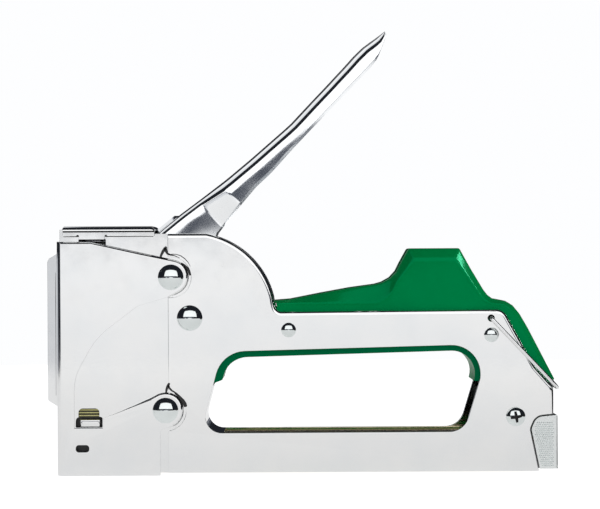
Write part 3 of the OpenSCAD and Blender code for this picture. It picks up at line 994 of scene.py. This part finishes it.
def build_lock():
    """Wire bail over the rear of the body, its ends turned into the side plates."""
    start = Vector(LOCK_HOLE)
    length, wire, bend, slope = 37.79, 0.75, 4, math.radians(-46.6)
    run = Vector((math.cos(slope), math.sin(slope)))
    leg = high("handle_lock").y - wire
    half_path = [
        (0, half_width - 2.6), (0, leg - 1.3), (0.1, leg - 0.8), (0.38, leg - 0.38), (0.8, leg - 0.1),
        (1.3, leg), (length - bend, leg),
    ]
    for t in (math.radians(10 * k) for k in range(1, 10)):
        half_path.append((length - bend + bend * math.sin(t), leg - bend + bend * math.cos(t)))
    path = [(start.x + run.x * d, y, start.y + run.y * d) for d, y in half_path]
    path += [(x, -y, z) for x, y, z in reversed(path)]
    bm = bmesh.new()
    tube(bm, path, wire, 16)
    add_piece("lock_bail", bm, wire_steel, "lock", ["handle_lock"], sharp=60)


def helix(centre, axis, radius, start, end, turns, per_turn=24):
    """Points of a spring along axis "x" or "z" whose end coils lie flat."""
    flat = 0.8
    total = turns - 2 * flat
    points = []
    for k in range(int(turns * per_turn) + 1):
        t = k / per_turn
        rise = min(max(t - flat, 0), total) / total
        a = 2 * math.pi * t
        h = start + (end - start) * rise
        u, v = centre[0] + radius * math.cos(a), centre[1] + radius * math.sin(a)
        points.append((h, u, v) if axis == "x" else (u, v, h))
    return points


def build_main_spring():
    """Main spring: a coil between the ends of its CAD box, tied to the body."""
    a, b = low("main_spring"), high("main_spring")
    wire, inset = 1.2, 1.25
    coil = helix(((a.x + b.x) / 2, 0), "z", (b.x - a.x) / 2 - inset, a.z + inset, b.z - inset, 8.5)
    bm = bmesh.new()
    tube(bm, coil, wire)
    spring = add_piece("main_coil", bm, spring_steel, "body", ["main_spring"], sharp=60)
    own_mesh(spring)


def build_pusher_spring():
    """Long thin spring on the pusher's rod."""
    a, b = low("pusher_spring"), high("pusher_spring")
    coil = helix((0, (a.z + b.z) / 2), "x", 2.2, a.x + 0.5, b.x - 0.5, 46, 14)
    bm = bmesh.new()
    tube(bm, coil, 0.4, 6)
    spring = add_piece(
        "pusher_coil", bm, spring_steel, "magazine", ["pusher_spring"], sharp=60,
    )
    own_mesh(spring)


def build_return_spring():
    """Lever's return spring: five close turns round the pivot."""
    x, z = centre_of("handle_spring")
    radius, half_length, turns = 3.8, 3.2, 5
    coil = []
    for t in (math.pi * k / 12 for k in range(24 * turns + 1)):
        y = -half_length + 2 * half_length * t / (2 * turns * math.pi)
        coil.append((x + radius * math.cos(t), y, z + radius * math.sin(t)))
    bm = bmesh.new()
    tube(bm, coil, 0.7, 8)
    add_piece("return_coil", bm, spring_steel, "body", ["handle_spring"], sharp=60)


def finish_inner_parts():
    """CAD parts that are right as they are: a real finish and eased edges."""
    for names, material in (
        (("rear_nut",), rivet_plate),
        (("bumper",), bumper_rubber),
        (("rear_block", "plunger", "lift_hook", "end_block", "spring_seat"), dark_steel),
        (("driver_blade", "blade_pin", "lift_pin"), bright_steel),
        (("pusher_rod", "rod_tip", "latch_pin", "staple_pusher"), bright_steel),
        (("latch_spring",), spring_steel),
    ):
        for name in names:
            node = nodes[name]
            node.data.materials.clear()
            node.data.materials.append(material)
            ease_edges(node, 0.12)


build_side_plates()
build_lugs()
build_cover()
build_cap_sheet()
build_cap_band()
build_wall()
build_guide()
build_crease_shade()
build_gaps()
build_track()
build_rivets()
build_screw()
build_lever()
build_hump()
build_lining()
build_latch()
build_dimples()
build_lock()
build_main_spring()
build_pusher_spring()
build_return_spring()
finish_inner_parts()

# ---------------------------------------------------------------- floor, light and camera


def pale_floor():
    """Evenly lit pale floor: plain white as seen, a shade darker where the plates mirror it."""
    f = Finish("pale_floor", Roughness=0.9, Specular_IOR_Level=0.0)
    f.link(f.blend(f.noise(8, 3), colour(0.45, 0.45, 0.45), colour(0.435, 0.435, 0.435)), "Base Color")
    depth = f.node("SeparateXYZ", Vector=f.place).outputs["Y"]
    f.shader.inputs["Emission Color"].default_value = colour(1, 1, 1)
    seen = f.tree.nodes.new("ShaderNodeLightPath").outputs["Is Camera Ray"]
    glow = f.node("Math", Value=seen)
    glow.operation = "MAXIMUM"
    f.tree.links.new(f.ramp(depth, -0.6, -0.05, 0.81, 0.73), glow.inputs[1])
    f.link(glow.outputs[0], "Emission Strength")
    return f.material


def build_floor():
    """Round floor; what lies beyond its edge is the dark of the room, as the plates' bends show."""
    reach = 0.75
    ring = [(reach * math.cos(t), reach * math.sin(t), 0) for t in full_turn(96)]
    mesh = bpy.data.meshes.new("floor")
    mesh.from_pydata(ring, [], [tuple(range(len(ring)))])
    mesh.materials.append(pale_floor())
    floor = bpy.data.objects.new("floor", mesh)
    floor.location = (0.14, 0.0, -0.00005)
    bpy.context.scene.collection.objects.link(floor)


def build_card():
    """Low black card beyond the rear end, seen only in reflections; it darkens the bent rear edges."""
    black = Finish("card_black", Roughness=0.9)
    patches = black.blend(black.noise(20), colour(0.01, 0.01, 0.01), colour(0.015, 0.015, 0.015))
    black.link(patches, "Base Color")
    x, front, back, top = 0.47, -0.12, 0.6, 0.1
    mesh = bpy.data.meshes.new("rear_card")
    mesh.from_pydata([(x, front, 0), (x, back, 0), (x, back, top), (x, front, top)], [], [(0, 1, 2, 3)])
    mesh.materials.append(black.material)
    card = bpy.data.objects.new("rear_card", mesh)
    bpy.context.scene.collection.objects.link(card)
    card.visible_camera = False


def build_world():
    """Plain pale when seen directly; in reflections a dark room with a few pale patches.

    They are all that lies below the horizon, a low band ahead, a faint glow round it, a narrow strip ahead to
    the left, a low band behind to the left and a bright patch up behind to the left.
    """
    world = bpy.data.worlds.new("studio")
    bpy.context.scene.world = world
    world.use_nodes = True
    tree = world.node_tree
    background = tree.nodes["Background"]
    place = tree.nodes.new("ShaderNodeTexCoord").outputs["Generated"]

    def facing(direction, outer, inner, strength):
        """Strength inside a cone of half angle inner degrees, falling to zero at outer."""
        dot = tree.nodes.new("ShaderNodeVectorMath")
        dot.operation = "DOT_PRODUCT"
        tree.links.new(place, dot.inputs[0])
        dot.inputs[1].default_value = Vector(direction).normalized()
        edge = tree.nodes.new("ShaderNodeMapRange")
        tree.links.new(dot.outputs["Value"], edge.inputs["Value"])
        edge.inputs["From Min"].default_value = math.cos(math.radians(outer))
        edge.inputs["From Max"].default_value = math.cos(math.radians(inner))
        edge.inputs["To Max"].default_value = strength
        return edge.outputs["Result"]

    def combine(operation, first, second):
        made = tree.nodes.new("ShaderNodeMath")
        made.operation = operation
        for socket, value in zip(made.inputs, (first, second)):
            if hasattr(value, "links"):
                tree.links.new(value, socket)
            else:
                socket.default_value = value
        return made.outputs[0]

    low_ahead = facing((0, -1, 0), 16, 12, 1.12)
    low_ahead = combine("MULTIPLY", low_ahead, facing((0, 0, -1), 91.4, 90.9, 1.0))
    low_ahead = combine("MULTIPLY", low_ahead, combine("SUBTRACT", 1.0, facing((0, 0, -1), 90.0, 86.0, 0.12)))
    low_left = facing((-0.643, 0.766, 0), 48, 40, 0.75)
    low_left = combine("MULTIPLY", low_left, facing((0, 0, -1), 90.8, 90.2, 1.0))
    beside_nose = facing((-0.53, -0.848, 0), 5, 3.5, 0.85)
    beside_nose = combine("MULTIPLY", beside_nose, facing((0, 0, -1), 92.0, 91.4, 1.0))
    strength = tree.nodes.new("ShaderNodeLightPath").outputs["Is Camera Ray"]
    for patch in (
        facing((0, 0, -1), 86.4, 85.8, 0.86),
        low_ahead,
        low_left,
        beside_nose,
        facing((0, -1, 0.08), 30, 24, 0.16),
        facing((-0.593, 0.545, 0.593), 26, 22, 0.95),
    ):
        strength = combine("MAXIMUM", strength, patch)
    tree.links.new(combine("MAXIMUM", strength, 0.03), background.inputs["Strength"])
    tint = tree.nodes.new("ShaderNodeMix")
    tint.data_type = "RGBA"
    tree.links.new(strength, tint.inputs["Factor"])
    tint.inputs[6].default_value = (0.5, 0.57, 0.74, 1)
    tint.inputs[7].default_value = (0.985, 0.99, 1.0, 1)
    tree.links.new(tint.outputs[2], background.inputs["Color"])


def softbox(name, centre, aim, size, radiance):
    """Area light facing aim."""
    light = bpy.data.lights.new(name, "AREA")
    light.shape = "RECTANGLE"
    light.size, light.size_y = size
    light.energy = radiance * size[0] * size[1] * math.pi
    box = bpy.data.objects.new(name, light)
    box.location = centre
    box.rotation_euler = (Vector(aim) - Vector(centre)).to_track_quat("-Z", "Y").to_euler()
    box.visible_camera = False
    bpy.context.scene.collection.objects.link(box)
    return box


def build_lights():
    """Large box ahead and above, and a weaker one behind."""
    softbox("front_box", (0.1, -1.25, 1.02), (0.1, 0.0, 1.02), (2.8, 1.52), 1.3)
    softbox("rear_box", (0.1, 1.4, 1.3), (0.1, 0.0, 0.6), (2.4, 1.2), 0.22)


def light_ridges():
    """Narrow light from the right that only the green moulding takes, for the highlight on its rear ridge."""
    moulding = bpy.data.collections.new("moulding_only")
    for name in ("grip_hump", "grip_lining"):
        moulding.objects.link(bpy.data.objects[name])
    strip = softbox("ridge_strip", (1.3, -0.38, 0.52), (0.17, 0.0, 0.06), (0.18, 0.6), 30.0)
    strip.light_linking.receiver_collection = moulding


def build_camera():
    """Long lens square to the near side plate, rolled a little as the photo is."""
    data = bpy.data.cameras.new("camera")
    data.sensor_width = 36.0
    data.lens = 107.6
    data.clip_start = 0.01
    data.clip_end = 50.0
    camera = bpy.data.objects.new("camera", data)
    place, roll = Vector((93.2, -712.2, 86.1)) * MM, math.radians(0.3)
    camera.matrix_world = (
        Matrix.Translation(place) @ Matrix.Rotation(roll, 4, "Y") @ Matrix.Rotation(math.radians(90), 4, "X")
    )
    bpy.context.scene.collection.objects.link(camera)
    bpy.context.scene.camera = camera


build_floor()
build_card()
build_world()
build_lights()
light_ridges()
build_camera()
bpy.context.scene.view_settings.view_transform = "Standard"
